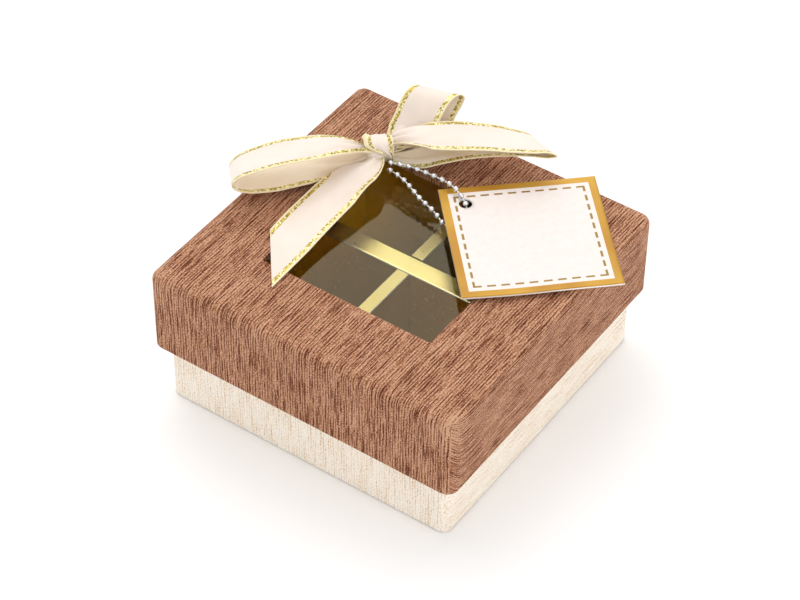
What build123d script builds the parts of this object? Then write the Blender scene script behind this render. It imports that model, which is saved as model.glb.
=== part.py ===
from build123d import *
import os
from math import cos, radians, sin

# A small square chocolate box: a wrapped board tray and lid, a folded gold card insert with four
# cells, a ribbon bow glued to the lid, and a card tag on a ball chain. Millimetres, +Z up, with the
# origin at the middle of the face it stands on. X runs along the front of the box.

# Board and papers
board = 2.0  # greyboard
paper = 0.2  # wrapping and lining paper
film = 0.2  # clear window film
stay_depth = 0.12  # corner stay, pressed into the board
stay_reach = 12.0  # how far a stay laps each side of its corner
stay_margin = 3.0  # board left bare above and below a stay
inner_corner = 0.8  # inside corner of a board wall
turn_in = 12.0  # paper turned in over a rim

# Lid
lid_side = 90.0  # mm, the lid is square
lid_skirt = 24.0
lid_corner = 3.0
lid_edge = 2.4  # rounding where the top meets the sides
window_margin = 20.0  # lid top left round the window
window_corner = 0.6
liner_setback = 1.5  # lining frame set back from the window's edge
film_play = 0.3

# Base
base_play = 0.5  # gap between lid and base, each side
base_height = 38.9
liner_play = 0.1

# Insert
card = 0.4  # foil-faced card
tray_play = 0.3
tray_drop = 4.5  # the tray's rim below the base's
tray_corner = 1.0
divider_drop = 0.4  # the dividers' tops below the tray's rim
divider_play = 0.2  # between a divider's end and the tray's wall
slot_play = 0.25  # each side of a divider in its slot
long_width = 5.6
long_y = 1.3
cross_width = 3.8
cross_x = 1.0

# Bow, tied in one ribbon and glued to the lid by its knot. Its sizes keep their shares of the span
knot_inset = 2.5  # from the window's left edge to the middle of the knot
knot_setback = 4.0  # from the window's back edge
knot_turn = 46.0  # degrees from X to the line of the two loops
bow_span = 45.0  # the reach of the bow's longest tail
rise_share = 0.267  # height that the height shares below are taken of
ribbon_share = 0.278  # width of the flat ribbon
knot_length_share = 0.155
knot_radius_share = 0.08
knot_bevel_share = 0.027
knot_facets = 12
band_share = 0.076  # width of the ribbon drawn round the knot
band_swell_share = 0.011
band_turn = 16.0  # degrees, the slant of that ribbon
glue_share = 0.058  # radius of the dot of glue
glue_shift_share = 0.049  # from the knot's middle back to the lid at the window's corner
glue_height = 0.8
ribbon_thickness = 0.3
ribbon_steps = 22
ribbon_samples = 160
turn_weight_share = 0.13  # of the span, counted as length for each radian that the ribbon turns

# Tag, which lies over the window with its chain under one corner
tag_side = 40.0
tag_thickness = 0.5
tag_lift = 1.2  # under the tag, above the lid
tag_corner = 0.4
tag_turn = 42.5  # degrees from X
tag_setback = 1.5  # the tag's hole nearer the front than the knot's middle
hole_radius = 1.7
hole_inset = 6.1  # from two sides of the tag to the hole's middle

# Ball chain
ball_radius = 0.75
ball_pitch = 2.4
knot_gap = 0.45  # between the knot and the chain's first ball
ball_reach = 0.69  # from a ball's middle to the flat where the wire enters it
ball_bevel = 0.4
ball_facets = 8
wire_radius = 0.22
wire_facets = 6
wire_gap = 0.06  # left at the far end of each wire
clasp_share = 0.48  # of the chain's length, where the clasp holds two balls
clasp_length = 4.3
clasp_bore = 0.9
clasp_wall = 0.2
clasp_slit = 0.5

# Sizes that follow
window_side = lid_side - 2 * window_margin
lid_top = base_height + paper + film + paper + board + paper
lid_rim = lid_top - lid_skirt
lid_board_side = lid_side - 2 * paper
lid_board_corner = lid_corner - paper
lid_board_base = lid_rim + paper
lid_board_top = lid_top - paper
lid_inner = lid_board_side - 2 * board
lid_turned = lid_inner - 2 * paper
under_board = lid_board_top - board
film_top = under_board - paper
film_base = film_top - film

base_side = lid_turned - 2 * base_play
base_corner = lid_corner - base_play
base_board_side = base_side - 2 * paper
base_board_top = base_height - paper
base_inner = base_board_side - 2 * board
base_turned = base_inner - 2 * paper
base_floor = paper + board

tray_side = base_turned - 2 * tray_play
tray_base = base_floor + paper
tray_inner = tray_side - 2 * card
tray_floor = tray_base + card
tray_height = base_height - tray_drop - tray_base
divider_height = tray_height - card - divider_drop
divider_length = tray_inner - 2 * divider_play
slot_level = tray_floor + divider_height / 2

knot_x = knot_inset - window_side / 2
knot_y = window_side / 2 - knot_setback

bow_rise = bow_span * rise_share
ribbon_width = bow_span * ribbon_share
knot_length = bow_span * knot_length_share
knot_radius = bow_span * knot_radius_share
knot_bevel = bow_span * knot_bevel_share
band_length = bow_span * band_share
band_swell = bow_span * band_swell_share
glue_radius = bow_span * glue_share
glue_shift = bow_span * glue_shift_share
turn_weight = bow_span * turn_weight_share


def plate(side, corner, level):
    """A square with rounded corners, flat at a level."""
    with BuildSketch(Plane.XY.offset(level)) as outline:
        RectangleRounded(side, side, corner)
    return outline.sketch


def corner_gaps(side, level):
    """The cross of two bars that leaves only the corners of a square."""
    with BuildSketch(Plane.XY.offset(level)) as bars:
        Rectangle(side, side - 2 * stay_reach)
        Rectangle(side - 2 * stay_reach, side)
    return bars.sketch


def fold(width, plane):
    """The end view of a card strip folded over to an inverted U."""
    with BuildSketch(plane) as outline:
        with Locations((0, divider_height / 2)):
            Rectangle(width, divider_height)
        fillet(outline.vertices().group_by(Axis.Y)[-1], radius=card)
        with Locations((0, (divider_height - card) / 2)):
            Rectangle(width - 2 * card, divider_height - card, mode=Mode.SUBTRACT)
    return outline.sketch


# Base tray of greyboard, with paper stays round its corners
with BuildPart() as base_corner_stays:
    stay_base = paper + stay_margin
    stay_height = base_board_top - paper - 2 * stay_margin
    extrude(plate(base_board_side, base_corner - paper, stay_base), amount=stay_height)
    extrude(
        plate(base_board_side - 2 * stay_depth, base_corner - paper - stay_depth, stay_base),
        amount=stay_height,
        mode=Mode.SUBTRACT,
    )
    extrude(corner_gaps(base_board_side, stay_base), amount=stay_height, mode=Mode.SUBTRACT)

with BuildPart() as base_board:
    extrude(plate(base_board_side, base_corner - paper, paper), amount=base_board_top - paper)
    extrude(
        plate(base_inner, inner_corner, base_floor),
        amount=base_board_top - base_floor,
        mode=Mode.SUBTRACT,
    )
    add(base_corner_stays.part, mode=Mode.SUBTRACT)

# Cream paper round the sides, over the rim and turned in
with BuildPart() as base_wrap:
    extrude(plate(base_side, base_corner, paper), amount=base_height - paper)
    extrude(
        plate(base_inner, inner_corner, paper),
        amount=base_height - turn_in - paper,
        mode=Mode.SUBTRACT,
    )
    extrude(
        plate(base_turned, inner_corner, base_height - turn_in),
        amount=turn_in,
        mode=Mode.SUBTRACT,
    )
    add(base_board.part, mode=Mode.SUBTRACT)
    add(base_corner_stays.part, mode=Mode.SUBTRACT)

with BuildPart() as base_bottom_paper:
    extrude(plate(base_side, base_corner, 0), amount=paper)

with BuildPart() as base_liner:
    extrude(plate(base_inner - 2 * liner_play, inner_corner, base_floor), amount=paper)

# Gold card insert: a tray, and two folded dividers halved into each other
with BuildPart() as insert_tray:
    extrude(plate(tray_side, tray_corner, tray_base), amount=tray_height)
    extrude(
        plate(tray_inner, tray_corner - card, tray_floor),
        amount=tray_height - card,
        mode=Mode.SUBTRACT,
    )

cross_end = Plane(origin=(cross_x, 0, tray_floor), x_dir=(1, 0, 0), z_dir=(0, -1, 0))
with BuildPart() as cross_divider:
    extrude(fold(cross_width, cross_end), amount=divider_length / 2, both=True)
    with Locations((cross_x, long_y, slot_level)):
        Box(
            cross_width,
            long_width + 2 * slot_play,
            divider_height / 2,
            align=(Align.CENTER, Align.CENTER, Align.MIN),
            mode=Mode.SUBTRACT,
        )

long_end = Plane(origin=(0, long_y, tray_floor), x_dir=(0, 1, 0), z_dir=(1, 0, 0))
with BuildPart() as long_divider:
    extrude(fold(long_width, long_end), amount=divider_length / 2, both=True)
    with Locations((cross_x, long_y, slot_level + slot_play)):
        Box(
            cross_width + 2 * slot_play,
            long_width,
            divider_height / 2 + slot_play,
            align=(Align.CENTER, Align.CENTER, Align.MAX),
            mode=Mode.SUBTRACT,
        )

# Lid of greyboard with a square window
with BuildPart() as lid_corner_stays:
    stay_base = lid_board_base + stay_margin
    stay_height = lid_board_top - lid_board_base - 2 * stay_margin
    extrude(plate(lid_board_side, lid_board_corner, stay_base), amount=stay_height)
    extrude(
        plate(lid_board_side - 2 * stay_depth, lid_board_corner - stay_depth, stay_base),
        amount=stay_height,
        mode=Mode.SUBTRACT,
    )
    extrude(corner_gaps(lid_board_side, stay_base), amount=stay_height, mode=Mode.SUBTRACT)

with BuildPart() as lid_board:
    extrude(
        plate(lid_board_side, lid_board_corner, lid_board_base),
        amount=lid_board_top - lid_board_base,
    )
    fillet(lid_board.edges().group_by(Axis.Z)[-1], radius=lid_edge - paper)
    extrude(
        plate(lid_inner, inner_corner, lid_board_base),
        amount=under_board - lid_board_base,
        mode=Mode.SUBTRACT,
    )
    extrude(
        plate(window_side + 2 * paper, window_corner + paper, under_board),
        amount=board,
        mode=Mode.SUBTRACT,
    )
    add(lid_corner_stays.part, mode=Mode.SUBTRACT)

# Brown paper over the lid, turned in at the rim and through the window
with BuildPart() as lid_wrap:
    extrude(plate(lid_side, lid_corner, lid_rim), amount=lid_skirt)
    fillet(lid_wrap.edges().group_by(Axis.Z)[-1], radius=lid_edge)
    extrude(plate(lid_turned, inner_corner, lid_rim), amount=turn_in, mode=Mode.SUBTRACT)
    extrude(
        plate(lid_inner, inner_corner, lid_rim + turn_in),
        amount=film_top - lid_rim - turn_in,
        mode=Mode.SUBTRACT,
    )
    extrude(
        plate(window_side, window_corner, film_top),
        amount=lid_top - film_top,
        mode=Mode.SUBTRACT,
    )
    add(lid_board.part, mode=Mode.SUBTRACT)
    add(lid_corner_stays.part, mode=Mode.SUBTRACT)

with BuildPart() as window_film:
    extrude(plate(lid_inner - 2 * film_play, inner_corner, film_base), amount=film)

with BuildPart() as lid_liner:
    extrude(plate(lid_inner - 2 * liner_play, inner_corner, base_height), amount=paper)
    extrude(
        plate(window_side + 2 * liner_setback, window_corner, base_height),
        amount=paper,
        mode=Mode.SUBTRACT,
    )


def bow_point(x_share, y_share, z_share):
    """A point of the bow, from the knot's place on the lid, in shares of the span and the rise."""
    return Vector(
        knot_x + x_share * bow_span,
        knot_y + y_share * bow_span,
        lid_top + z_share * bow_rise,
    )


def section(middle, across, normal):
    """The four corners of the ribbon's cross-section, in order round it."""
    thick = normal * (ribbon_thickness / 2)
    return [
        middle + across + thick,
        middle - across + thick,
        middle - across - thick,
        middle + across - thick,
    ]


def ribbon_sections(rows):
    """Cross-sections along a stretch of ribbon, set closer together where it turns.

    A row holds the middle line's place in shares as in bow_point, the way that the ribbon's nearer
    edge points in the plan, in degrees from X, how far that edge is raised, in degrees, and the
    width as a share of the flat ribbon's, which is gathered where it enters the knot.
    """
    middle = [bow_point(*row[:3]) for row in rows]
    spine = Spline(*middle)
    reached = [0]
    for here, there in zip(middle, middle[1:]):
        reached.append(reached[-1] + (there - here).length)
    places = [sample / ribbon_samples for sample in range(ribbon_samples + 1)]
    marks = [0]
    for here, there in zip(places, places[1:]):
        turned = radians((spine % here).get_angle(spine % there))
        marks.append(marks[-1] + ((spine @ there) - (spine @ here)).length + turned * turn_weight)
    sections = []
    for step in range(ribbon_steps + 1):
        target = step / ribbon_steps * marks[-1]
        sample = sum(mark < target for mark in marks[1:-1])
        past = (target - marks[sample]) / (marks[sample + 1] - marks[sample])
        place = (sample + past) / ribbon_samples
        along = place * reached[-1]
        row = sum(mark < along for mark in reached[1:-1])
        part_way = (along - reached[row]) / (reached[row + 1] - reached[row])
        plan_turn, lean, width_share = (
            before + (after - before) * part_way
            for before, after in zip(rows[row][3:], rows[row + 1][3:])
        )
        level = Vector(cos(radians(plan_turn)), sin(radians(plan_turn)), 0) * cos(radians(lean))
        across = level + Vector(0, 0, sin(radians(lean)))
        normal = (spine % place).cross(across).normalized()
        sections.append(section(spine @ place, across * (ribbon_width * width_share / 2), normal))
    return sections


def ribbon(sections):
    """A solid of flat facets through the sections of one stretch."""
    facets = [Face(Wire.make_polygon(sections[0])), Face(Wire.make_polygon(sections[-1]))]
    for before, after in zip(sections, sections[1:]):
        for corner, following in zip(range(4), (1, 2, 3, 0)):
            low, high = before[corner], after[following]
            facets.append(Face(Wire.make_polygon([low, before[following], high])))
            facets.append(Face(Wire.make_polygon([low, high, after[corner]])))
    return Solid(Shell(facets))


left_loop_shares = [
    (-0.057, -0.074, 0.50, -44, 22, 0.42),
    (-0.122, -0.166, 0.70, -47, 16, 0.80),
    (-0.220, -0.291, 0.80, -48, 12, 1.00),
    (-0.355, -0.465, 0.84, -47, 10, 1.00),
    (-0.457, -0.614, 0.78, -46, 13, 1.00),
    (-0.500, -0.678, 0.67, -48, 16, 1.00),
    (-0.512, -0.697, 0.53, -49, 18, 1.00),
    (-0.500, -0.674, 0.40, -48, 14, 1.00),
    (-0.460, -0.605, 0.28, -46, 8, 1.00),
    (-0.380, -0.470, 0.18, -45, 3, 1.00),
    (-0.278, -0.300, 0.14, -44, 1, 1.00),
    (-0.144, -0.160, 0.17, -44, 0, 0.75),
    (-0.059, -0.076, 0.24, -44, 0, 0.42),
]
right_loop_shares = [
    (0.062, 0.064, 0.58, -44, 10, 0.42),
    (0.133, 0.105, 0.72, -50, 9, 0.75),
    (0.241, 0.168, 0.77, -52, 7, 1.00),
    (0.354, 0.242, 0.79, -50, 4, 1.00),
    (0.592, 0.368, 0.82, -46, 7, 1.00),
    (0.730, 0.430, 0.82, -38, 12, 1.00),
    (0.798, 0.462, 0.78, -33, 17, 1.00),
    (0.820, 0.472, 0.70, -32, 19, 1.00),
    (0.800, 0.464, 0.64, -33, 20, 1.00),
    (0.730, 0.436, 0.61, -38, 20, 1.00),
    (0.592, 0.380, 0.58, -46, 17, 1.00),
    (0.380, 0.270, 0.45, -52, 10, 1.00),
    (0.205, 0.155, 0.26, -52, 3, 0.95),
    (0.066, 0.066, 0.15, -46, 2, 0.45),
]
front_tail_shares = [
    (0.050, -0.125, 0.36, -4, 0, 0.42),
    (0.022, -0.200, 0.33, -4, 0, 0.68),
    (-0.010, -0.400, 0.22, -4, 0, 0.95),
    (-0.022, -0.630, 0.11, -4, 0, 1.00),
    (-0.019, -0.818, 0.05, -4, 0, 1.00),
]
back_tail_shares = [
    (0.034, 0.120, 0.25, 14, 0, 0.42),
    (0.050, 0.180, 0.32, 14, 0, 0.75),
    (0.062, 0.240, 0.47, 14, 6, 1.00),
    (0.068, 0.300, 0.74, 12, 8, 1.00),
    (0.074, 0.345, 0.94, 14, 5, 1.00),
    (0.085, 0.398, 1.07, 16, 2, 1.00),
    (0.099, 0.447, 1.06, 16, 0, 1.00),
    (0.105, 0.472, 0.92, 16, 0, 1.00),
    (0.101, 0.452, 0.76, 16, 0, 1.00),
    (0.095, 0.410, 0.61, 16, 0, 1.00),
    (0.090, 0.370, 0.42, 16, 0, 1.00),
    (0.087, 0.350, 0.14, 16, 0, 1.00),
]
tail_cut = 52.0  # degrees, the slant of the tail's cut end
tail_end_shares = (-0.012, -0.998, 0.04)

with BuildPart() as bow_left_loop:
    add(ribbon(ribbon_sections(left_loop_shares)))

with BuildPart() as bow_right_loop:
    add(ribbon(ribbon_sections(right_loop_shares)))

with BuildPart() as bow_back_tail:
    add(ribbon(ribbon_sections(back_tail_shares)))

# The front tail ends in a slanting cut
cut_line = Vector(cos(radians(tail_cut)), -sin(radians(tail_cut)), 0)
cut_reach = ribbon_width / 2 / cos(radians(tail_cut))
cut_section = section(bow_point(*tail_end_shares), cut_line * cut_reach, Vector(0, 0, 1))
with BuildPart() as bow_front_tail:
    add(ribbon(ribbon_sections(front_tail_shares) + [cut_section]))

# Knot: the gathered middle with the ribbon drawn round it on the slant, flat where the glue holds it
knot_middle = Vector(knot_x, knot_y, lid_top + glue_height + knot_radius)
knot_line = Vector(cos(radians(knot_turn)), sin(radians(knot_turn)), 0)
band_line = Vector(cos(radians(knot_turn + band_turn)), sin(radians(knot_turn + band_turn)), 0)
with BuildPart() as bow_knot:
    with BuildSketch(Plane(knot_middle, x_dir=(0, 0, 1), z_dir=knot_line)):
        RegularPolygon(knot_radius, knot_facets)
    extrude(amount=knot_length / 2, both=True)
    knot_ends = bow_knot.faces().sort_by(Axis(knot_middle, knot_line))
    chamfer(knot_ends[0].edges() + knot_ends[-1].edges(), length=knot_bevel)
    with BuildSketch(Plane(knot_middle, x_dir=(0, 0, 1), z_dir=band_line)):
        RegularPolygon(knot_radius + band_swell, knot_facets)
    extrude(amount=band_length / 2, both=True)
    split(bisect_by=Plane.XY.offset(lid_top + glue_height), keep=Keep.TOP)

# The glue bridges the knot and the lid beside the window
glue_middle = Vector(knot_x, knot_y, lid_top) + knot_line.rotate(Axis.Z, 90) * glue_shift
with BuildPart() as bow_glue_pad:
    with BuildSketch(Plane(glue_middle, z_dir=(0, 0, 1))):
        Circle(glue_radius)
    extrude(amount=glue_height)

# Ball chain: from the knot over the tag, down through its hole, and back under it. Each point of the
# route is set from the tag's hole, at the height of the lid's top
chain_route = [
    (-22.9, 0.1, 3.5),
    (-19.0, 1.3, 3.7),
    (-14.4, 2.0, 3.6),
    (-9.6, 2.3, 3.5),
    (-5.2, 1.8, 3.5),
    (-1.9, 0.7, 2.9),
    (0.0, 0.0, 1.45),
    (1.3, -0.8, -0.3),
    (2.8, -2.4, -0.7),
    (3.3, -4.7, -0.7),
    (2.6, -6.9, -0.6),
    (0.5, -8.1, -0.4),
    (-1.9, -7.6, 0.0),
    (-5.4, -6.2, 0.7),
    (-9.6, -5.1, 1.3),
    (-14.0, -3.3, 1.6),
    (-18.6, -1.6, 2.0),
    (-22.2, -1.2, 2.3),
]

# Tag, as far from the knot as the chain's route reaches
hole_x = knot_x + knot_radius + knot_gap + ball_radius - chain_route[0][0]
hole_y = knot_y - tag_setback
hole_offset = hole_inset - tag_side / 2
tag_line = Vector(cos(radians(tag_turn)), sin(radians(tag_turn)), 0)
tag_up = Vector(-sin(radians(tag_turn)), cos(radians(tag_turn)), 0)
tag_middle = Vector(hole_x, hole_y, lid_top + tag_lift) - tag_line * hole_offset + tag_up * hole_offset
with BuildPart() as gift_tag:
    with BuildSketch(Plane(tag_middle, x_dir=tag_line, z_dir=(0, 0, 1))):
        RectangleRounded(tag_side, tag_side, tag_corner)
        with Locations((hole_offset, -hole_offset)):
            Circle(hole_radius, mode=Mode.SUBTRACT)
    extrude(amount=tag_thickness)

# Balls at equal steps along the route
chain_line = Spline(*[(hole_x + x, hole_y + y, lid_top + z) for x, y, z in chain_route])
ball_count = round(chain_line.length / ball_pitch) + 1
ball_step = chain_line.length / (ball_count - 1)
balls = [
    chain_line.position_at(number * ball_step, position_mode=PositionMode.LENGTH)
    for number in range(ball_count)
]

with BuildPart() as ball:
    with BuildSketch(Plane.XY.offset(-ball_reach)):
        RegularPolygon(ball_radius, ball_facets)
    extrude(amount=2 * ball_reach)
    chamfer(ball.edges().group_by(Axis.Z)[0] + ball.edges().group_by(Axis.Z)[-1], length=ball_bevel)

# Each ball carries the wire that runs into the next
with BuildPart() as ball_chain:
    for number, middle in enumerate(balls):
        last = number == ball_count - 1
        span = middle - balls[number - 1] if last else balls[number + 1] - middle
        along_chain = Plane(middle, z_dir=span)
        add(ball.part.moved(along_chain.location))
        if not last:
            with BuildSketch(along_chain.offset(ball_reach)):
                RegularPolygon(wire_radius, wire_facets)
            extrude(amount=span.length - ball_reach - ball_radius - wire_gap)

# Clasp: a slit sleeve closed over the two end balls
clasp_ball = round(clasp_share * (ball_count - 1))
clasp_line = balls[clasp_ball + 1] - balls[clasp_ball]
clasp_middle = (balls[clasp_ball] + balls[clasp_ball + 1]) / 2
with BuildPart() as chain_clasp:
    with BuildSketch(Plane(clasp_middle, x_dir=(0, 0, 1), z_dir=clasp_line)):
        Circle(clasp_bore + clasp_wall)
        Circle(clasp_bore, mode=Mode.SUBTRACT)
        with Locations((clasp_bore, 0)):
            Rectangle(2 * clasp_bore, clasp_slit, mode=Mode.SUBTRACT)
    extrude(amount=clasp_length / 2, both=True)

chain_length = chain_line.length
print("balls", ball_count, "pitch", round(ball_step, 3), "chain length", round(chain_length, 1))

pieces = {
    "base_board": base_board,
    "base_corner_stays": base_corner_stays,
    "base_wrap": base_wrap,
    "base_bottom_paper": base_bottom_paper,
    "base_liner": base_liner,
    "insert_tray": insert_tray,
    "cross_divider": cross_divider,
    "long_divider": long_divider,
    "lid_board": lid_board,
    "lid_corner_stays": lid_corner_stays,
    "lid_wrap": lid_wrap,
    "window_film": window_film,
    "lid_liner": lid_liner,
    "bow_knot": bow_knot,
    "bow_left_loop": bow_left_loop,
    "bow_right_loop": bow_right_loop,
    "bow_front_tail": bow_front_tail,
    "bow_back_tail": bow_back_tail,
    "bow_glue_pad": bow_glue_pad,
    "ball_chain": ball_chain,
    "chain_clasp": chain_clasp,
    "gift_tag": gift_tag,
}
os.makedirs("parts", exist_ok=True)
for name, piece in pieces.items():
    piece.part.label = name
    export_step(piece.part, f"parts/{name}.step")
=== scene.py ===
"""Looks for a square chocolate box: papered lid and base, gold foil insert, satin bow and a hung tag.

Metres, +Z up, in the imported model's frame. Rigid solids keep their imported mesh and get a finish. The
ribbon, the ball chain and the tag are built here as surfaces worked out on grids with numpy.
"""

import logging
import math
from dataclasses import dataclass
from enum import Enum
from functools import partial
from typing import Any, Callable, Sequence

import bpy
import numpy as np
from mathutils import Matrix, Vector

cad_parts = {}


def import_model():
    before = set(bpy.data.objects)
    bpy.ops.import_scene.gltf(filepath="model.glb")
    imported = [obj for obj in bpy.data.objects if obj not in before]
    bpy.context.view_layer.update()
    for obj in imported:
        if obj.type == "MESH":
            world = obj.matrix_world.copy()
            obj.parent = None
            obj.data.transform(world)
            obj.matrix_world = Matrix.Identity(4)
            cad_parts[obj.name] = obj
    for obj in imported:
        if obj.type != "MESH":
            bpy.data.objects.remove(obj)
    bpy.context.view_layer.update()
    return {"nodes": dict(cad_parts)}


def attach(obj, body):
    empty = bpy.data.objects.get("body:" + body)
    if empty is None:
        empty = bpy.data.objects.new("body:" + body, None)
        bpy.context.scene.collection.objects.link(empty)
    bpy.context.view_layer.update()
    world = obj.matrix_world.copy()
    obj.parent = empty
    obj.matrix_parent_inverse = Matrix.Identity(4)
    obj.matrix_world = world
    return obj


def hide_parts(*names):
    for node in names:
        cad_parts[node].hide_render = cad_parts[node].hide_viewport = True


logging.basicConfig(level=logging.INFO, format="%(levelname)s %(name)s: %(message)s")
log = logging.getLogger("chocolate_box")

MM = 0.001
MAP = 10.0  # units of the cloth map in a metre
LID_TOP = 41.7 * MM
RIBBON_WIDTH = 12.51 * MM
TAG_HOLE = (5.2 * MM, 19.5 * MM)
Array = np.ndarray
Finished = bpy.types.Material
Adder = Callable[..., Any]  # add_node with its tree filled in
Object = bpy.types.Object
Nodes = dict[str, Object]


# Small tools


def linear(hex_code: str) -> tuple[float, ...]:
    """Turns an sRGB hex colour to the linear colour that shaders take.

    Args:
        hex_code: Six hex digits after a hash mark.

    Returns:
        Red, green, blue and alpha, with each channel c changed by ((c + 0.055) / 1.055) ** 2.4.
    """
    digits = hex_code.lstrip("#")
    srgb = np.array([int(digits[i : i + 2], 16) for i in (0, 2, 4)]) / 255
    flat = np.where(srgb <= 0.04045, srgb / 12.92, ((srgb + 0.055) / 1.055) ** 2.4)
    return (*flat.tolist(), 1.0)


def add_node(
    tree: bpy.types.NodeTree,
    kind: str,
    inputs: dict[Any, Any] | Sequence[Any] = (),
    stops: Sequence[tuple[float, str]] = (),
    **settings: Any,
) -> Any:
    """Adds one shader node with its settings, values and links.

    Args:
        tree: The node tree that gets the node.
        kind: The node's type without ShaderNode, and after a colon its operation if it has one.
            An operation alone, in capitals, is a Math node's.
        inputs: Values, hex colours or output sockets, in the order of the inputs or by input name or
            place. None leaves an input as it is.
        stops: A colour ramp's places and hex colours.
        settings: The node's own properties.

    Returns:
        The node's outputs.
    """
    kind, _, operation = (f"Math:{kind}" if kind.isupper() else kind).partition(":")
    node = tree.nodes.new("ShaderNode" + kind)
    if operation:
        node.operation = operation
    for name, value in settings.items():
        setattr(node, name, value)
    for place, value in inputs.items() if isinstance(inputs, dict) else enumerate(inputs):
        if isinstance(value, bpy.types.NodeSocket):
            tree.links.new(value, node.inputs[place])
        elif value is not None:
            node.inputs[place].default_value = linear(value) if isinstance(value, str) else value
    for number, (place, code) in enumerate(stops):
        elements = node.color_ramp.elements
        stop = elements[number] if number < 2 else elements.new(place)
        stop.position, stop.color = place, linear(code)
    return node.outputs


def dress(obj: Object, material: Finished) -> None:
    """Gives an object one material in every slot.

    Args:
        obj: The object.
        material: The finish.
    """
    if not obj.data.materials:
        obj.data.materials.append(material)
    for place in range(len(obj.data.materials)):
        obj.data.materials[place] = material
    log.info("dressed %s in %s", obj.name, material.name)


def natural_spline(places: Array, values: Array, at: Array) -> Array:
    """Runs a smooth line through the given values.

    A natural cubic spline: on each run the value is a cubic whose second slopes join up at the
    points and are nothing at both ends, which gives one band of linear equations to solve.

    Args:
        places: Rising places of the points, of length n.
        values: The points, n by k.
        at: Places to read.

    Returns:
        The line's values at those places.
    """
    h = np.diff(places)
    n = len(places)
    system, right = np.eye(n), np.zeros((n, values.shape[1]))
    inner = np.arange(1, n - 1)
    system[inner, inner - 1], system[inner, inner + 1] = h[:-1], h[1:]
    system[inner, inner] = 2 * (h[:-1] + h[1:])
    slopes = np.diff(values, axis=0) / h[:, None]
    right[inner] = 6 * np.diff(slopes, axis=0)
    bend = np.linalg.solve(system, right)
    run = np.clip(np.searchsorted(places, at, side="right") - 1, 0, n - 2)
    a, b, width = (places[run + 1] - at)[:, None], (at - places[run])[:, None], h[run][:, None]
    return (
        (bend[run] * a**3 + bend[run + 1] * b**3) / (6 * width)
        + (values[run] / width - bend[run] * width / 6) * a
        + (values[run + 1] / width - bend[run + 1] * width / 6) * b
    )


def smooth_step(value: Array, low: float, high: float) -> Array:
    """Rises from 0 at low to 1 at high along 3 q ** 2 - 2 q ** 3, where q is the share of the way."""
    q = np.clip((value - low) / (high - low), 0, 1)
    return q * q * (3 - 2 * q)


def unit(vectors: Array) -> Array:
    """Scales each vector to length one."""
    return vectors / np.linalg.norm(vectors, axis=-1, keepdims=True)


def running(points: Array) -> Array:
    """Gives each point's distance from the first one, measured along the points."""
    return np.r_[0, np.cumsum(np.linalg.norm(np.diff(points, axis=0), axis=1))]


def link_object(name: str, data: Any) -> Object:
    """Puts a new object with this mesh, light or camera into the scene."""
    bpy.context.scene.collection.objects.link(obj := bpy.data.objects.new(name, data))
    return obj


def grid_faces(rows: int, columns: int, closed: tuple[bool, bool]) -> Array:
    """Joins the points of a grid, numbered row by row, into faces.

    Corner (i, j) joins (i+1, j), (i+1, j+1) and (i, j+1), counted round again in a closed direction.
    Faces point along the first direction crossed with the second.

    Args:
        rows: How many points the first direction has.
        columns: How many the second has.
        closed: Whether each direction joins up with itself.

    Returns:
        The four points of each face.
    """
    i, j = np.indices((rows - 1 + closed[0], columns - 1 + closed[1])).reshape(2, -1)
    i2, j2 = (i + 1) % rows, (j + 1) % columns
    return np.stack([i * columns + j, i2 * columns + j, i2 * columns + j2, i * columns + j2], 1)


def mesh_object(name: str, points: Array, faces: list[Any], flat: int = 0) -> Object:
    """Makes a smooth mesh object.

    Args:
        name: The piece's name.
        points: Points in metres, with x, y and z last.
        faces: The point numbers of each face.
        flat: How many of the last faces aren't smoothed.

    Returns:
        The new object, at the origin.
    """
    mesh = bpy.data.meshes.new(name)
    mesh.from_pydata(points.reshape(-1, 3).tolist(), [], faces)
    mesh.polygons.foreach_set("use_smooth", np.arange(len(faces)) < len(faces) - flat)
    mesh.update()
    return link_object(name, mesh)


def grid_mesh(
    name: str,
    grid: Array,
    closed: tuple[bool, bool] = (False, False),
    cloth: Array | None = None,
    caps: bool = False,
) -> Object:
    """Makes a smooth mesh object from a grid of points.

    Args:
        name: The piece's name.
        grid: Points in metres, n by m by 3.
        closed: Whether each direction joins up with itself.
        cloth: UV values, n by m by 2.
        caps: Closes the first and last row of a tube with one face each.

    Returns:
        The new object, at the origin.
    """
    rows, columns = grid.shape[:2]
    faces = grid_faces(rows, columns, closed).tolist()
    if caps:
        faces += [list(range(columns)), list(range(rows * columns - 1, (rows - 1) * columns - 1, -1))]
    obj = mesh_object(name, grid, faces)
    if cloth is not None:
        corner = np.zeros(len(obj.data.loops), np.int32)
        obj.data.loops.foreach_get("vertex_index", corner)
        layer = obj.data.uv_layers.new(name="cloth")
        layer.data.foreach_set("uv", cloth.reshape(-1, 2)[corner].astype(np.float32).ravel())
    return obj


# Finishes


@dataclass(frozen=True)
class Finish:
    """A material whose surface each kind of finish works out for itself."""

    name: str

    def surface(self, add: Adder) -> dict[str, Any]:
        """Works out the shader's inputs by name, each kind of finish in its own way."""
        raise NotImplementedError(self.name)

    def build(self) -> Finished:
        """Makes the material.

        Returns:
            The finish, ready to dress a piece.
        """
        material = bpy.data.materials.new(self.name)
        material.use_nodes = True
        material.node_tree.nodes.clear()
        add = partial(add_node, material.node_tree)
        add("OutputMaterial", (add("BsdfPrincipled", self.surface(add))[0],))
        return material


class Paper(Enum):
    """The two grained papers, each by its colours from the grain's lines to its lightest flecks."""

    BROWN = ("#592815", "#8C573C", "#AE7A5B", "#D0A283")
    CREAM = ("#BC956A", "#E9D4BA", "#F8EBD9", "#FEF9F1")


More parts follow.
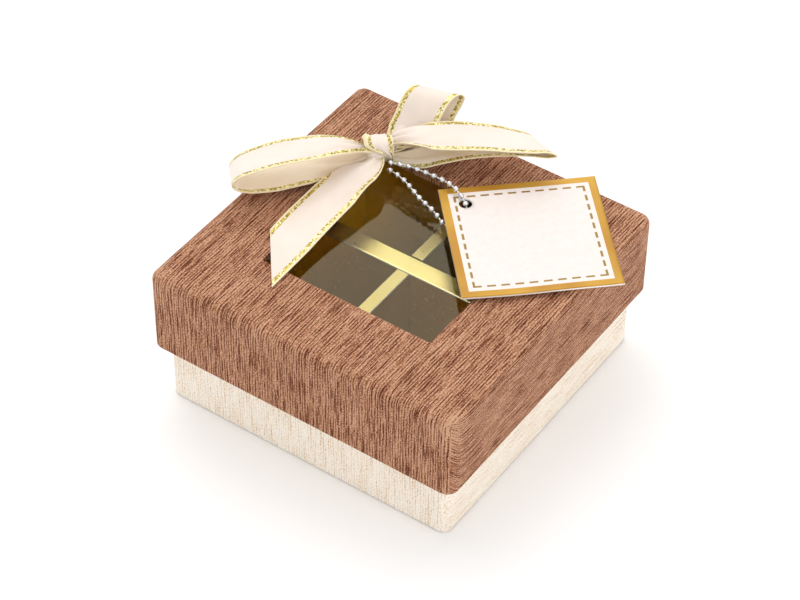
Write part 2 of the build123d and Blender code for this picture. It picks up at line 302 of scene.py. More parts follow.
@dataclass(frozen=True)
class GrainedPaper(Finish):
    """Embossed wrapping paper, printed with a streaked grain and laid over greyboard.

    Matt and slightly fibrous. Fine dark lines lie 0.76 mm apart and break off every few millimetres,
    and follow the sheet over the box's edges.
    """

    paper: Paper
    top_z: float  # metres, where the sheet folds over to the sides
    half: float  # metres, half the side that the sheet covers
    line_pitch: float = 0.76 * MM
    line_depth: float = 1.0  # how far a line takes the colour towards its darkest
    line_run: float = 3.4 * MM  # before a line breaks off
    pucker: float = 0.0  # metres that the grain is dragged up at a corner

    def surface(self, add: Adder) -> dict[str, Any]:
        """Works out the surface.

        Args:
            add: Adds a node.

        Returns:
            A paper whose pattern unrolls over the top and all four sides.
        """
        where = add("TexCoord")
        x, y, z = add("SeparateXYZ", (where["Object"],))
        nx, ny, nz = add("SeparateXYZ", (where["Normal"],))
        sizes = [add("ABSOLUTE", (part,))[0] for part in (x, y, nx, ny, nz)]
        x_size, y_size, nx_size, ny_size, nz_size = sizes

        # The sheet's own two directions: it hangs down from the top's edges on the four sides
        steep = add("LESS_THAN", (nz_size, 0.7))[0]
        faces_x = add("GREATER_THAN", (nx_size, ny_size))[0]
        faces_y = add("SUBTRACT", (1.0, faces_x))[0]
        drop = add("SUBTRACT", (self.top_z, z))[0]
        side_drop = add("MULTIPLY", (drop, steep))[0]
        drops = [add("MULTIPLY", (side_drop, faces))[0] for faces in (faces_x, faces_y)]
        across, along = (
            add("MULTIPLY_ADD", (fall, add("SIGN", (part,))[0], part))[0]
            for fall, part in zip(drops, (x, y))
        )
        if self.pucker:
            # Eased round a corner, the sheet drags its lines up in arcs within a few millimetres
            past = add("SUBTRACT", (self.half, y_size))[0]
            near = add("EXPONENT", (add("MULTIPLY", (past, -1 / (1.8 * MM)))[0],))[0]
            on_x = add("MULTIPLY", (steep, faces_x))[0]
            pull = add("MULTIPLY", (near, on_x))[0]
            across = add("MULTIPLY_ADD", (pull, self.pucker, across))[0]
        sheet = add("CombineXYZ", (across, along))[0]

        def streaks(width: float, length: float, seed: float, detail: float = 2.0) -> Any:
            """Noise drawn out along the grain, by one streak's width and length in metres."""
            drawn = add("Mapping", (sheet, (seed, 3 * seed, 0), None, (1 / width, 1 / length, 1)))[0]
            return add("TexNoise", (drawn, None, 1.0, detail), noise_dimensions="2D")[0]

        # Lines of the grain: a wave across the sheet that wanders and breaks off
        wander = streaks(2.2 * MM, 18 * MM, 2.3)
        strayed = add("MULTIPLY_ADD", (wander, 1.0 * MM, across))[0]
        phase = add("MULTIPLY", (strayed, 2 * math.pi / self.line_pitch))[0]
        wave = add("COSINE", (phase,))[0]
        broken = streaks(0.7 * MM, self.line_run, 5.1, 4.0)
        heavy = add("MapRange", (broken, 0.38, 0.62, 0.1, 1.0))[0]
        trough = add("MapRange", (wave, 0.1, 0.95, 0.0, 1.0))[0]
        line = add("MULTIPLY", (heavy, trough))[0]
        loose = streaks(0.34 * MM, 3.0 * self.line_run, 7.7, 1.0)
        stray = add("MapRange", (loose, 0.54, 0.72, 0.0, 1.0))[0]
        line = add("MAXIMUM", (line, add("MULTIPLY", (stray, 0.7))[0]))[0]

        mottle = streaks(0.42 * MM, 0.44 * MM, 3.4, 3.0)
        cloud = streaks(4 * MM, 11 * MM, 1.3, 2.0)
        tone = add("MULTIPLY_ADD", (mottle, 1.6, add("MULTIPLY_ADD", (cloud, 0.35, -0.22))[0]))[0]
        inked = add("MULTIPLY_ADD", (line, -self.line_depth, tone))[0]

        # Handling rubs the corners lighter
        from_edges = [add("SUBTRACT", (self.half, size))[0] for size in (x_size, y_size)]
        apart = add("CombineXYZ", (*from_edges, add("MULTIPLY", (drop, 0.7))[0]))[0]
        far = add("VectorMath:LENGTH", (apart,))["Value"]
        worn = add("MapRange", (far, 1.5 * MM, 8 * MM, 0.24, 0.0))[0]
        shade = add("ADD", (inked, worn))[0]
        dark, middle, light, fleck = self.paper.value
        stops = ((0.03, dark), (0.34, middle), (0.62, light), (0.92, fleck))
        colour = add("ValToRGB", (shade,), stops)[0]
        # One rib is 0.06 mm high on the real sheet and drawn at 0.1 mm so that it shows
        bump = add("Bump", {"Strength": 0.6, "Distance": 0.1 * MM, "Height": inked})[0]
        return {"Base Color": colour, "Roughness": 0.75, "Specular IOR Level": 0.18, "Normal": bump}


@dataclass(frozen=True)
class GoldFoil(Finish):
    """Pale gold foil laminated on card: a soft mirror that ripples slightly where the card waves."""

    name: str = "gold foil card"
    tone: str = "#FAEFA2"
    shade: str = "#EBC25C"
    # colour of the painted highlight along the folds
    fold_highlight: str = "#F7F2D8"

    def surface(self, add: Adder) -> dict[str, Any]:
        """Works out the surface.

        Args:
            add: Adds a node.

        Returns:
            A smooth metal with long, shallow ripples and faint rub marks.
        """
        where = add("TexCoord")["Object"]
        # The card waves every 22 mm; rub marks are about 1 mm across
        wave = add("TexNoise", {"Vector": where, "Scale": 1 / (22 * MM), "Detail": 1.0})[0]
        rub = add("TexNoise", {"Vector": where, "Scale": 1 / (1.1 * MM), "Detail": 3.0})[0]
        tone = add("Mix", {0: wave, 6: self.tone, 7: self.shade}, data_type="RGBA")[2]
        # A painted highlight along each fold: where the surface turns between flat and upright, the
        # foil's colour is lightened towards whitish
        up = add("SeparateXYZ", (add("TexCoord")["Normal"],))[2]
        fold = add("MULTIPLY", (up, add("SUBTRACT", (1.0, up))[0]))[0]
        fold_highlight = add("MapRange", (fold, 0.02, 0.12, 0.0, 0.8))[0]
        tone = add("Mix", {0: fold_highlight, 6: tone, 7: self.fold_highlight}, data_type="RGBA")[2]
        gloss = add("MapRange", (rub, 0.3, 0.7, 0.27, 0.38))[0]
        bump = add("Bump", {"Strength": 0.35, "Distance": 0.6 * MM, "Height": wave})[0]
        return {"Base Color": tone, "Metallic": 1.0, "Roughness": gloss, "Normal": bump}


@dataclass(frozen=True)
class Mottled(Finish):
    """A matt or slightly glossy surface whose tone drifts between two: board, paper or glue."""

    tone: str
    fleck: str
    fleck_size: float = 0.4 * MM
    roughness: float = 0.85
    fibrous: bool = True  # tangled flecks that stand up 0.05 mm, as in uncoated board
    specular: float = 0.5

    def surface(self, add: Adder) -> dict[str, Any]:
        """Works out the surface.

        Args:
            add: Adds a node.

        Returns:
            The mottled surface.
        """
        noise = {"Vector": add("TexCoord")["Object"], "Scale": 1 / self.fleck_size}
        look = {"Roughness": self.roughness, "Specular IOR Level": self.specular}
        low, high = (0.35, 0.65) if self.fibrous else (0.3, 0.7)
        noise |= {"Detail": 4.0, "Distortion": 1.5} if self.fibrous else {}
        flecks = add("TexNoise", noise)[0]
        if self.fibrous:
            relief = {"Strength": 0.3, "Distance": 0.05 * MM, "Height": flecks}
            look["Normal"] = add("Bump", relief)[0]
        colour = add("ValToRGB", (flecks,), ((low, self.fleck), (high, self.tone)))[0]
        return look | {"Base Color": colour}


@dataclass(frozen=True)
class ClearFilm(Finish):
    """Rigid clear PET window film, glossy on both sides and very slightly wavy."""

    name: str = "clear PET film"

    def surface(self, add: Adder) -> dict[str, Any]:
        """Works out the surface.

        Args:
            add: Adds a node.

        Returns:
            A clear film whose reflection swims a little.
        """
        where = add("TexCoord")["Object"]
        # The sheet waves every 35 mm, as film does that is glued at its edges alone
        wave = add("TexNoise", {"Vector": where, "Scale": 1 / (35 * MM), "Detail": 0.0})[0]
        tint = add("ValToRGB", (wave,), ((0.0, "#F6F7F5"), (1.0, "#FFFFFF")))[0]
        bump = add("Bump", {"Strength": 0.12, "Distance": 0.4 * MM, "Height": wave})[0]
        look = {"Base Color": tint, "Roughness": 0.02, "IOR": 1.48, "Normal": bump}
        return look | {"Transmission Weight": 1.0, "Specular Tint": "#EEDDB0"}


@dataclass(frozen=True)
class EdgedSatin(Finish):
    """Cream polyester satin ribbon with a lurex stripe woven in beside each selvedge.

    Satin gives a soft broad sheen across the ribbon; the lurex is a narrow band of flat metallic
    yarns that glint one by one, and outside it runs a plain selvedge.
    """

    name: str = "cream satin with lurex edges"
    tones: tuple[str, str] = ("#E9D8C9", "#F2E4D8")
    width: float = RIBBON_WIDTH
    stripe_from: float = 0.55 * MM
    stripe_to: float = 1.5 * MM
    fray: float = 0.6 * MM  # how far the stripe's sides wander
    yarn_glint: float = 0.45 * MM
    rib: float = 0.69052 * MM

    def surface(self, add: Adder) -> dict[str, Any]:
        """Works out the surface, reading the ribbon's cloth map.

        Args:
            add: Adds a node.

        Returns:
            The ribbon's cloth.
        """
        cloth = add("UVMap", uv_map="cloth")[0]
        _, across, _ = add("SeparateXYZ", (cloth,))
        off_middle = add("ABSOLUTE", (add("SUBTRACT", (across, 0.5))[0],))[0]
        from_edge = add("SUBTRACT", (self.width / 2 * MAP, off_middle))[0]
        ravel = add("TexNoise", {"Vector": cloth, "Scale": 1 / (0.4 * MM * MAP), "Detail": 2.0})[0]
        stray = add("SUBTRACT", (ravel, 0.5))[0]
        ragged = add("MULTIPLY_ADD", (stray, self.fray * MAP, from_edge))[0]
        inside = add("GREATER_THAN", (ragged, self.stripe_from * MAP))[0]
        outside = add("LESS_THAN", (ragged, self.stripe_to * MAP))[0]
        stripe = add("MULTIPLY", (inside, outside))[0]
        selvedge = add("SUBTRACT", (1.0, inside))[0]

        # Lurex yarns are 0.25 mm wide; their glints are drawn wider so that they show
        glints = add("TexVoronoi", {"Vector": cloth, "Scale": 1 / (self.yarn_glint * MAP)})
        spark = add("SeparateColor", (glints["Color"],))[0]
        golds = ((0.0, "#7F6B25"), (0.3, "#B89F42"), (0.62, "#DFCC6C"), (0.9, "#FFFACB"))
        gold = add("ValToRGB", (spark,), golds)[0]
        drape = add("TexNoise", {"Vector": cloth, "Scale": 1 / (11 * MM * MAP), "Detail": 2.0})[0]
        cream = add("ValToRGB", (drape,), ((0.3, self.tones[0]), (0.7, self.tones[1])))[0]
        edge = add("MULTIPLY", (selvedge, 0.75))[0]
        cream = add("Mix", {0: edge, 6: cream, 7: "#F6E6B4"}, data_type="RGBA")[2]
        colour = add("Mix", {0: stripe, 6: cream, 7: gold}, data_type="RGBA")[2]
        metal = add("MULTIPLY", (stripe, 0.6))[0]
        gloss = add("MapRange", (stripe, 0.0, 1.0, 0.42, 0.3))[0]

        # Warp yarns of 0.12 mm are drawn 0.69 mm apart so that they show as a faint rib; the wave
        # texture turns through 20 radians in one unit
        per_unit = 2 * math.pi / (20 * self.rib * MAP)
        weave = {"Vector": cloth, "Scale": per_unit, "Distortion": 0.6}
        ribs = add("TexWave", weave, bands_direction="Y")[1]
        glitter = add("MULTIPLY", (spark, stripe))[0]
        ribs = add("MULTIPLY", (ribs, 0.2))[0]
        height = add("MULTIPLY_ADD", (glitter, 2.2, ribs))[0]
        bump = add("Bump", {"Strength": 0.5, "Distance": 0.08 * MM, "Height": height})[0]
        look = {"Base Color": colour, "Metallic": metal, "Roughness": gloss, "Normal": bump}
        return look | {"Sheen Weight": 0.2, "Sheen Roughness": 0.4}


@dataclass(frozen=True)
class NickelPlate(Finish):
    """Bright nickel-plated steel of a stamped ball chain, with small dents that break its glints."""

    name: str = "nickel plated steel"

    def surface(self, add: Adder) -> dict[str, Any]:
        """Works out the surface.

        Args:
            add: Adds a node.

        Returns:
            A bright metal.
        """
        where = add("TexCoord")["Object"]
        # Dents from tumbling, about 0.6 mm apart
        dents = add("TexVoronoi", {"Vector": where, "Scale": 1 / (0.6 * MM)})["Distance"]
        tone = add("ValToRGB", (dents,), ((0.0, "#FFFFFF"), (1.0, "#D2D3D8")))[0]
        bump = add("Bump", {"Strength": 0.35, "Distance": 0.15 * MM, "Height": dents})[0]
        return {"Base Color": tone, "Metallic": 1.0, "Roughness": 0.33, "Normal": bump}


@dataclass(frozen=True)
class PrintedCard(Finish):
    """Coated white card with a gold border and a printed line of stitches inside it."""

    name: str = "coated card with gold border"
    half: float = 20.0 * MM
    border: float = 2.1 * MM
    line_inset: float = 3.6 * MM  # from the card's edge to the middle of the stitches
    stitch: float = 2.15 * MM
    pitch: float = 3.47 * MM
    stitch_width: float = 0.62 * MM

    def surface(self, add: Adder) -> dict[str, Any]:
        """Works out the surface, reading the tag's cloth map.

        Args:
            add: Adds a node.

        Returns:
            The printed face.
        """
        card = add("UVMap", uv_map="cloth")[0]
        centred = add("VectorMath:SUBTRACT", (card, (0.5, 0.5, 0.0)))[0]
        folded = add("VectorMath:ABSOLUTE", (centred,))[0]
        a, b, _ = add("SeparateXYZ", (folded,))
        square = add("MAXIMUM", (a, b))[0]
        run = add("MINIMUM", (a, b))[0]
        border = add("GREATER_THAN", (square, (self.half - self.border) * MAP))[0]
        line = (self.half - self.line_inset) * MAP
        off_line = add("ABSOLUTE", (add("SUBTRACT", (square, line))[0],))[0]
        on_line = add("LESS_THAN", (off_line, self.stitch_width / 2 * MAP))[0]
        from_corner = add("SUBTRACT", (line + self.stitch_width / 2 * MAP, run))[0]
        beat = add("FLOORED_MODULO", (from_corner, self.pitch * MAP))[0]
        inked = add("LESS_THAN", (beat, self.stitch * MAP))[0]
        stitches = add("MULTIPLY", (on_line, inked))[0]
        foil = add("MAXIMUM", (border, stitches))[0]
        drift = add("TexNoise", {"Vector": card, "Scale": 1 / (13 * MM * MAP), "Detail": 1.0})[0]
        mottle = add("TexNoise", {"Vector": card, "Scale": 1 / (1.7 * MM * MAP), "Detail": 3.0})[0]
        gold = add("ValToRGB", (drift,), ((0.3, "#B98426"), (0.65, "#CE9E35")))[0]
        gold = add("Mix", {0: stitches, 6: gold, 7: "#9C7A34"}, data_type="RGBA")[2]
        white = add("ValToRGB", (mottle,), ((0.3, "#ECE1DB"), (0.7, "#F1E7E1")))[0]
        colour = add("Mix", {0: foil, 6: white, 7: gold}, data_type="RGBA")[2]
        metal = add("MULTIPLY", (foil, 0.3))[0]
        gloss = add("MapRange", (foil, 0.0, 1.0, 0.5, 0.38))[0]
        fibres = add("TexNoise", {"Vector": card, "Scale": 1 / (0.15 * MM * MAP), "Detail": 2.0})[0]
        bump = add("Bump", {"Strength": 0.15, "Distance": 0.03 * MM, "Height": fibres})[0]
        return {"Base Color": colour, "Metallic": metal, "Roughness": gloss, "Normal": bump}


# The object


@dataclass
class PaperedBox:
    """The board base and lid with their papers and window, all kept as packed."""

    base_height: float = 38.9 * MM
    lid_top: float = LID_TOP
    lid_half: float = 45.0 * MM
    base_half: float = 42.1 * MM

    def build(self, nodes: Nodes) -> None:
        """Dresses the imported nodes.

        Args:
            nodes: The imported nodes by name.
        """
        lid, base = (self.lid_top, self.lid_half), (self.base_height, self.base_half)
        brown = GrainedPaper("brown grained paper", Paper.BROWN, *lid, pucker=7.0 * MM).build()
        cream = GrainedPaper(
            "cream grained paper", Paper.CREAM, *base, line_depth=0.46, line_run=6.0 * MM
        ).build()
        lining = Mottled("white lining paper", "#EFEBE2", "#E2DCCF").build()
        board = Mottled("greyboard", "#8E877B", "#777066", 0.6 * MM).build()
        kraft = Mottled("kraft stay paper", "#B08A5E", "#8E6B45", 0.5 * MM).build()
        film = ClearFilm().build()
        for name, material in {
            "lid_wrap": brown,
            "base_wrap": cream,
            "base_bottom_paper": cream,
            "base_liner": lining,
            "lid_liner": lining,
            "base_board": board,
            "lid_board": board,
            "base_corner_stays": kraft,
            "lid_corner_stays": kraft,
            "window_film": film,
        }.items():
            dress(nodes[name], material)


@dataclass
class FoilInsert:
    """The gold tray and its two halved dividers, kept as packed."""

    def build(self, nodes: Nodes) -> None:
        """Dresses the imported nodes.

        Args:
            nodes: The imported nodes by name.
        """
        foil = GoldFoil().build()
        # The cross divider gets a darker copy of the foil: painted shade, for the shade that falls on
        # that strip
        shaded_foil = GoldFoil("gold foil card, strip in painted shade", "#D9CE8C", "#CCA84F").build()
        dress(nodes["insert_tray"], foil)
        dress(nodes["long_divider"], foil)
        dress(nodes["cross_divider"], shaded_foil)


# The ribbon's four stretches. Each row holds the middle line's x and y in shares of the bow's span, z
# in shares of its rise, the way the nearer edge points in the plan and how far it is raised, both in
# degrees, and the gathered width's share.
LEFT_LOOP = (
    (-0.057, -0.074, 0.50, -44, 22, 0.42),
    (-0.122, -0.166, 0.70, -47, 16, 0.8),
    (-0.220, -0.291, 0.80, -48, 12, 1.0),
    (-0.355, -0.465, 0.84, -47, 10, 1.0),
    (-0.457, -0.614, 0.78, -46, 13, 1.0),
    (-0.500, -0.678, 0.67, -48, 16, 1.0),
    (-0.512, -0.697, 0.53, -49, 18, 1.0),
    (-0.500, -0.674, 0.40, -48, 14, 1.0),
    (-0.460, -0.605, 0.28, -46, 8, 1.0),
    (-0.380, -0.470, 0.18, -45, 3, 1.0),
    (-0.278, -0.300, 0.14, -44, 1, 1.0),
    (-0.144, -0.160, 0.17, -44, 0, 0.75),
    (-0.059, -0.076, 0.24, -44, 0, 0.42),
)
RIGHT_LOOP = (
    (0.062, 0.064, 0.58, -44, 10, 0.42),
    (0.133, 0.105, 0.72, -50, 9, 0.75),
    (0.241, 0.168, 0.77, -52, 7, 1.0),
    (0.354, 0.242, 0.79, -50, 4, 1.0),
    (0.592, 0.368, 0.82, -46, 7, 1.0),
    (0.730, 0.430, 0.82, -38, 12, 1.0),
    (0.798, 0.462, 0.78, -33, 17, 1.0),
    (0.820, 0.472, 0.70, -32, 19, 1.0),
    (0.800, 0.464, 0.64, -33, 20, 1.0),
    (0.730, 0.436, 0.61, -38, 20, 1.0),
    (0.592, 0.380, 0.58, -46, 17, 1.0),
    (0.380, 0.270, 0.45, -52, 10, 1.0),
    (0.205, 0.155, 0.26, -52, 3, 0.95),
    (0.066, 0.066, 0.15, -46, 2, 0.45),
)
FRONT_TAIL = (
    (0.047, -0.115, 0.36, -4, 0, 0.45),
    (0.022, -0.200, 0.33, -4, 0, 0.76),
    (-0.010, -0.400, 0.22, -4, 0, 0.98),
    (-0.022, -0.630, 0.11, -4, 0, 1.0),
    (-0.019, -0.818, 0.05, -4, 0, 1.0),
)
BACK_TAIL = (
    (0.034, 0.120, 0.25, 14, 0, 0.42),
    (0.050, 0.180, 0.32, 14, 0, 0.75),
    (0.062, 0.240, 0.47, 14, 6, 1.0),
    (0.068, 0.300, 0.74, 12, 8, 1.0),
    (0.074, 0.345, 0.94, 14, 5, 1.0),
    (0.085, 0.398, 1.07, 16, 2, 1.0),
    (0.099, 0.447, 1.06, 16, 0, 1.0),
    (0.105, 0.472, 0.92, 16, 0, 1.0),
    (0.101, 0.452, 0.76, 16, 0, 1.0),
    (0.095, 0.410, 0.61, 16, 0, 1.0),
    (0.090, 0.370, 0.42, 16, 0, 1.0),
    (0.087, 0.350, 0.14, 16, 0, 1.0),
)


@dataclass(frozen=True)
class RibbonStretch:
    """One stretch of ribbon between the knot and its end."""

    name: str
    rows: tuple[tuple[float, ...], ...]
    held: str = "gathered"
    pleats: float = 2.5  # folds across the ribbon where the knot gathers it
    phase: float = 0.0
    depth: float = 0.75 * MM  # of those folds
    turned: float = 0.0  # share of one half that is turned under beside the knot
    back_up: bool = False  # whether the grid's own side is the satin's back
    end: tuple[float, float, float] | None = None  # the middle of a slanting cut, in shares
    cut: float = 0.0  # degrees of slant


@dataclass
class RibbonBow:
    """A bow of one edged satin ribbon: two loops, two tails and the knot that gathers them."""

    knot: tuple[float, float] = (-22.5 * MM, 21.0 * MM)
    lid_top: float = LID_TOP
    span: float = 45.0 * MM
    rise: float = 12.015 * MM
    width: float = RIBBON_WIDTH
    cloth_thickness: float = 0.22 * MM
    knot_turn: float = 46.0
    knot_radius: float = 3.6 * MM
    knot_length: float = 7.0 * MM
    waist_radius: float = 2.85 * MM  # of the gathered cloth in the knot's middle
    glue_height: float = 0.8 * MM
    steps: tuple[int, int] = (150, 44)  # points along and across a stretch
    cut_steps: int = 30  # points from a tail's last row to its cut
    middle_steps: tuple[int, int] = (48, 96)
    fold_steps: tuple[int, int] = (160, 72)
    stretches: tuple[RibbonStretch, ...] = (
        RibbonStretch("left_loop_ribbon", LEFT_LOOP, phase=0.4),
        RibbonStretch("right_loop_ribbon", RIGHT_LOOP, phase=2.0, back_up=True),
        RibbonStretch(
            "front_tail_ribbon", FRONT_TAIL, pleats=1.3, phase=1.1, depth=0.5 * MM, turned=0.3,
            end=(-0.012, -0.998, 0.04), cut=52.0,
        ),
        RibbonStretch("back_tail_ribbon", BACK_TAIL, back_up=True),
    )

    def place(self, shares: Array) -> Array:
        """Turns places in shares of the span and rise to metres in the frame."""
        foot = np.array([*self.knot, self.lid_top])
        return foot + shares * np.array([self.span, self.span, self.rise])

    def tucked(self, row: Array) -> Array:
        """Carries a stretch's end on into the knot, four fifths of the way to the knot's middle.

        Args:
            row: The stretch's first or last row.

        Returns:
            A row inside the knot, with the ribbon gathered to a third of its width.
        """
        inside = row.copy()
        heart = np.array([0, 0, (self.glue_height + self.knot_radius) / self.rise])
        inside[:3] = row[:3] * 0.2 + heart * 0.8
        inside[5] = 0.34
        return inside

    def stretch_grid(self, stretch: RibbonStretch) -> tuple[Array, Array, float]:
        """Works out the surface of one stretch.

        A point at s along and t across the ribbon is the middle line at s, plus t times the gathered
        width along the across direction, plus a wave in t along the normal. The wave's height grows as
        the width is gathered in, so that the cloth keeps its width in the pleats.

        Args:
            stretch: The stretch.

        Returns:
            The grid of points, its UV values and the stretch's length in metres.
        """
        rows = np.array(stretch.rows)
        rows = np.vstack([self.tucked(rows[0]), rows])
        if stretch.end is None:
            rows = np.vstack([rows, self.tucked(rows[-1])])
        middle = self.place(rows[:, :3])
        reached = running(middle)
        along, over = self.steps
        s = np.linspace(0, reached[-1], along)
        line = natural_spline(reached, middle, s)
        way = unit(np.gradient(line, s, axis=0))
        plan, lean, share = (np.interp(s, reached, rows[:, k]) for k in (3, 4, 5))
        plan, lean = np.radians(plan), np.radians(lean)
        across = np.stack([np.cos(plan) * np.cos(lean), np.sin(plan) * np.cos(lean), np.sin(lean)], 1)
        normal = unit(np.cross(way, across))
        t = np.linspace(-1, 1, over)
        gathered = np.sqrt(np.clip(1 - share**2, 0, 1))
        wave = np.cos(np.pi * stretch.pleats * t + stretch.phase) * gathered[:, None]
        # One sharper crease leaves the knot and is down to a third after 9 mm
        crease = np.exp(-(((t - 0.15) / 0.22) ** 2)) * np.exp(-s[:, None] / (9 * MM))
        lift = stretch.depth * (wave - 0.66 * crease)
        grid = (
            line[:, None]
            + across[:, None] * (t[:, None] * self.width / 2 * share[:, None, None])
            + normal[:, None] * lift[..., None]
        )
        run = np.repeat(running(line)[:, None], over, 1)
        if stretch.end is not None:
            extra = self.slanted(grid, stretch)
            run = np.concatenate([run, run[-1] + np.linalg.norm(extra - grid[-1], axis=2)])
            grid = np.concatenate([grid, extra])
        # A half that is turned under opens out between 11 and 17 mm from the knot
        under = 1 - stretch.turned * (t < 0) * (1 - smooth_step(run, 11 * MM, 17 * MM))
        cloth = np.stack([run * MAP, 0.5 + t * under * self.width / 2 * MAP], -1)
        return grid, cloth, float(run[-1].mean())

    def slanted(self, grid: Array, stretch: RibbonStretch) -> Array:
        """Carries a tail on to its slanting cut.

        Extra rows run from the last row to the cut line in equal parts, so that each point across the
        ribbon goes straight on in its own direction.

        Args:
            grid: The tail's grid.
            stretch: The stretch with its cut.

        Returns:
            The extra rows.
        """
        turn = math.radians(stretch.cut)
        t = np.linspace(-1, 1, grid.shape[1])[:, None]
        middle = self.place(np.array(stretch.end))
        reach = self.width / 2 / math.cos(turn)
        cut = middle + t * reach * np.array([math.cos(turn), -math.sin(turn), 0])
        parts = np.linspace(0, 1, self.cut_steps)[1:, None, None]
        return grid[-1] + (cut - grid[-1]) * parts

    def build(self, satin: Finished, back: Finished) -> None:
        """Makes the stretches and the knot.

        Args:
            satin: The ribbon's face.
            back: The back inside the loops, painted lighter for light that comes through the cloth.
        """
        nodes = {s.name: "bow_" + s.name.removesuffix("_ribbon") for s in self.stretches}
        for stretch in self.stretches:
            grid, cloth, length = self.stretch_grid(stretch)
            piece = grid_mesh(stretch.name, grid, cloth=cloth)
            wall = piece.modifiers.new("cloth", "SOLIDIFY")
            wall.thickness, wall.offset, wall.material_offset = self.cloth_thickness, 0.0, 1
            for side in (back, satin) if stretch.back_up else (satin, back):
                piece.data.materials.append(side)
            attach(piece, "lid")
            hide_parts(nodes[stretch.name])
            log.info("%s: %.1f mm of ribbon", stretch.name, length / MM)
        for piece in (self.knot_middle(), self.knot_fold()):
            dress(piece, satin)
            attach(piece, "lid")
            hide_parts("bow_knot")

    def round_knot(self, along: Array, reach: Array, angle: Array) -> Array:
        """Places points round the line of the loops, and none of them below the glue.

        Args:
            along: Their distances along the line from the knot's middle.
            reach: Their distances from the line.
            angle: Their angles round it in radians, from the front upwards.

        Returns:
            The points.
        """
        turn = math.radians(self.knot_turn)
        middle = np.array([*self.knot, self.lid_top + self.glue_height + self.knot_radius])
        line = np.array([math.cos(turn), math.sin(turn), 0.0])
        front = np.array([math.sin(turn), -math.cos(turn), 0.0])
        out = line * along[..., None] + front * (reach * np.cos(angle))[..., None]
        height = np.maximum(reach * np.sin(angle), -self.knot_radius)
        return middle + out + np.array([0.0, 0.0, 1.0]) * height[..., None]

    def knot_middle(self) -> Object:
        """Makes the gathered cloth in the middle of the bow.

        A tube along the line of the loops. Its radius at s along and angle a round it is the waist's
        radius, which swells from the ends to the middle, times 1 plus two cosines in a, the pleats.

        Returns:
            The piece.
        """
        along, round_ = self.middle_steps
        s = np.linspace(-1, 1, along)[:, None]
        a = np.linspace(0, 2 * np.pi, round_, endpoint=False)
        pleats = 1 + 0.05 * np.cos(6 * a + 2.0 * s + 0.6) + 0.035 * np.cos(10 * a - 2.4 * s)
        rounded = np.sqrt(np.clip(1 - (np.abs(s) / 1.02) ** 8, 0.02, 1))
        waist = self.waist_radius * (1 - 0.10 * s**2) * rounded * pleats
        tube = self.round_knot(s * self.knot_length * 0.46, waist, a)
        run = (s + 1) * self.knot_length / 2 * MAP
        cloth = np.stack(np.broadcast_arrays(run, 0.5 + 0.03 * np.sin(a)), -1)
        return grid_mesh("knot_middle", tube, closed=(False, True), cloth=cloth, caps=True)

    def knot_fold(self) -> Object:
        """Makes the fold of ribbon that goes over the knot and draws in to a point at its front.

        It is a closed ring round the line of the loops, spread over the whole knot on top and at the
        back, and drawn in to a narrow pleat low at the front. Across it, t runs from one edge to the
        other; the top side is domed and the underside flat.

        Returns:
            The piece.
        """
        around, across = self.fold_steps
        a = np.linspace(math.radians(-45), math.radians(315), around, endpoint=False)[:, None]
        w = np.linspace(0, 2 * np.pi, across, endpoint=False)
        degrees = np.degrees(a)
        opened = smooth_step(degrees, -12, 72) * (1 - smooth_step(degrees, 185, 300))
        # Its two edges, then what lies on it: a dome, a rolled edge, pleats and the cloth's own skin
        left = (2.0 - 5.9 * opened) * MM
        right = (3.4 + 0.25 * opened) * MM
        half = (right - left) / 2
        t = np.cos(w) * np.ones_like(a)
        body = 0.42 * MM * (1 - t**2) * (0.35 + 0.65 * opened)
        rolled = 1.1 * MM * np.exp(-(((degrees - 104) / 26) ** 2)) * np.exp(-(((t + 0.78) / 0.3) ** 2))
        pleat = 0.16 * MM * np.cos(3 * np.pi * t + 0.7) * (1 - 0.55 * opened)
        skin = 0.16 * MM * np.sign(np.sin(w)) * np.abs(np.sin(w)) ** 0.6
        top_only = np.clip(np.sin(w) * 4, 0, 1)
        reach = (3.0 + 0.45 * opened) * MM + skin + (body + rolled + pleat) * (0.35 + 0.65 * top_only)
        along = (left + right) / 2 + half * t
        ring = self.round_knot(along, reach, a)
        part = half / (self.width / 2)
        # On the cloth the fold is the whole ribbon's width, pleated away in its middle
        inset = 1 - np.abs(t)
        spread = np.sign(t) * (1 - inset * part - (1 - part) * inset**4)
        turned = 0.55 * MM * (t < 0) * opened
        side = spread * self.width / 2 - turned
        cloth = np.stack([a * self.knot_radius * MAP * np.ones_like(t), 0.5 + side * MAP], -1)
        return grid_mesh("knot_fold", ring, closed=(True, True), cloth=cloth)


# The chain's route: points in millimetres from the tag's hole, at the height of the lid's top
CHAIN_ROUTE = (
    (-22.9, 0.1, 3.5),
    (-19.0, 1.3, 3.7),
    (-14.4, 2.0, 3.6),
    (-9.6, 2.3, 3.5),
    (-5.2, 1.8, 3.5),
    (-1.9, 0.7, 2.9),
    (0.0, 0.0, 1.45),
    (1.3, -0.8, -0.3),
    (2.8, -2.4, -0.7),
    (3.3, -4.7, -0.7),
    (2.6, -6.9, -0.6),
    (0.5, -8.1, -0.4),
    (-1.9, -7.6, 0.0),
    (-5.4, -6.2, 0.7),
    (-9.6, -5.1, 1.3),
    (-14.0, -3.3, 1.6),
    (-18.6, -1.6, 2.0),
    (-22.2, -1.2, 2.3),
)


